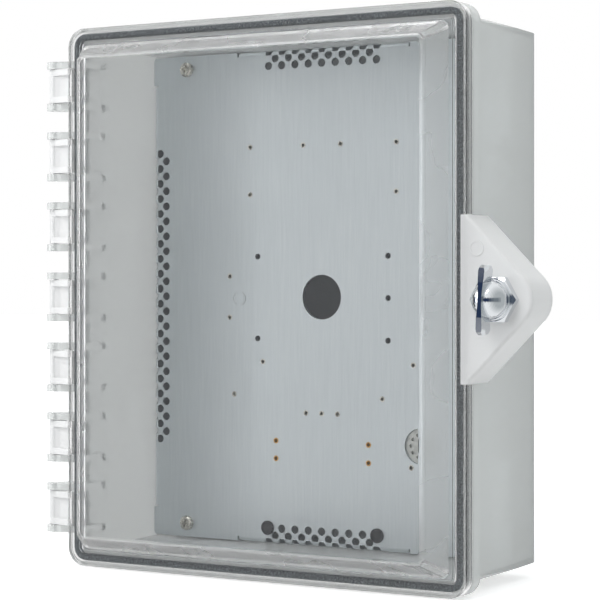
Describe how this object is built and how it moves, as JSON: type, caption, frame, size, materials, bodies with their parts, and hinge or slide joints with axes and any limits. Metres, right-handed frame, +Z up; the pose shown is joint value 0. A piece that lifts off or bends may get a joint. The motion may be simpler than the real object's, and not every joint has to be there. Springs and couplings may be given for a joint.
{
  "type": "hinged polycarbonate enclosure",
  "caption": "Wall enclosure with a hinged clear door, a quarter-turn thumb latch under a triangular hood, a rim gasket and a vented metal panel with a heater mat.",
  "frame": {"origin": "centre of the flat back face that lies against the wall", "axes": "+X to the right towards the latch, +Z up along the hinge line, -Y out of the front, +Y into the wall"},
  "size_m": [0.3097, 0.1205, 0.305],
  "materials": {
    "frosted_polycarbonate": "smooth",
    "clear_polycarbonate": "gloss",
    "foam_rubber": "matte",
    "sheet_aluminium": "brushed",
    "zinc_steel": "satin",
    "brass": "satin",
    "silicone_mat": "matte",
    "thermostat_metal": "satin",
    "black_plastic": "gloss",
    "lamp_lens": "gloss",
    "chrome": "polished"
  },
  "bodies": {
    "case": {"back_box": "frosted_polycarbonate", "rim_gasket": "foam_rubber", "back_panel": "sheet_aluminium", "panel_screws": "zinc_steel", "clinch_nuts": "zinc_steel", "brass_inserts": "brass", "heater_mat": "silicone_mat", "thermostat": "thermostat_metal", "terminal_block": "black_plastic", "left_lamp_holder": "black_plastic", "right_lamp_holder": "black_plastic", "left_lamp": "lamp_lens", "right_lamp": "lamp_lens", "hinge_pin_1": "clear_polycarbonate", "hinge_pin_2": "clear_polycarbonate", "hinge_pin_3": "clear_polycarbonate", "hinge_pin_4": "clear_polycarbonate", "hinge_pin_5": "clear_polycarbonate", "hinge_pin_6": "clear_polycarbonate", "hinge_pin_7": "clear_polycarbonate"},
    "door": {"door": "clear_polycarbonate", "lock_barrel": "chrome", "lock_nut": "chrome"},
    "latch": {"thumb_lever": "chrome", "lock_spindle": "chrome", "lock_cam": "zinc_steel", "cam_washer": "zinc_steel", "cam_screw": "zinc_steel"}
  },
  "joints": [
    {"name": "door_hinge", "type": "hinge", "parent": "case", "child": "door", "pos_m": [-0.1409, -0.095, 0], "axis": [0, 0, -1], "range_deg": [0, 180]},
    {"name": "latch_turn", "type": "hinge", "parent": "door", "child": "latch", "pos_m": [0.1437, -0.102, 0], "axis": [0, 1, 0], "range_deg": [0, 90]}
  ]
}
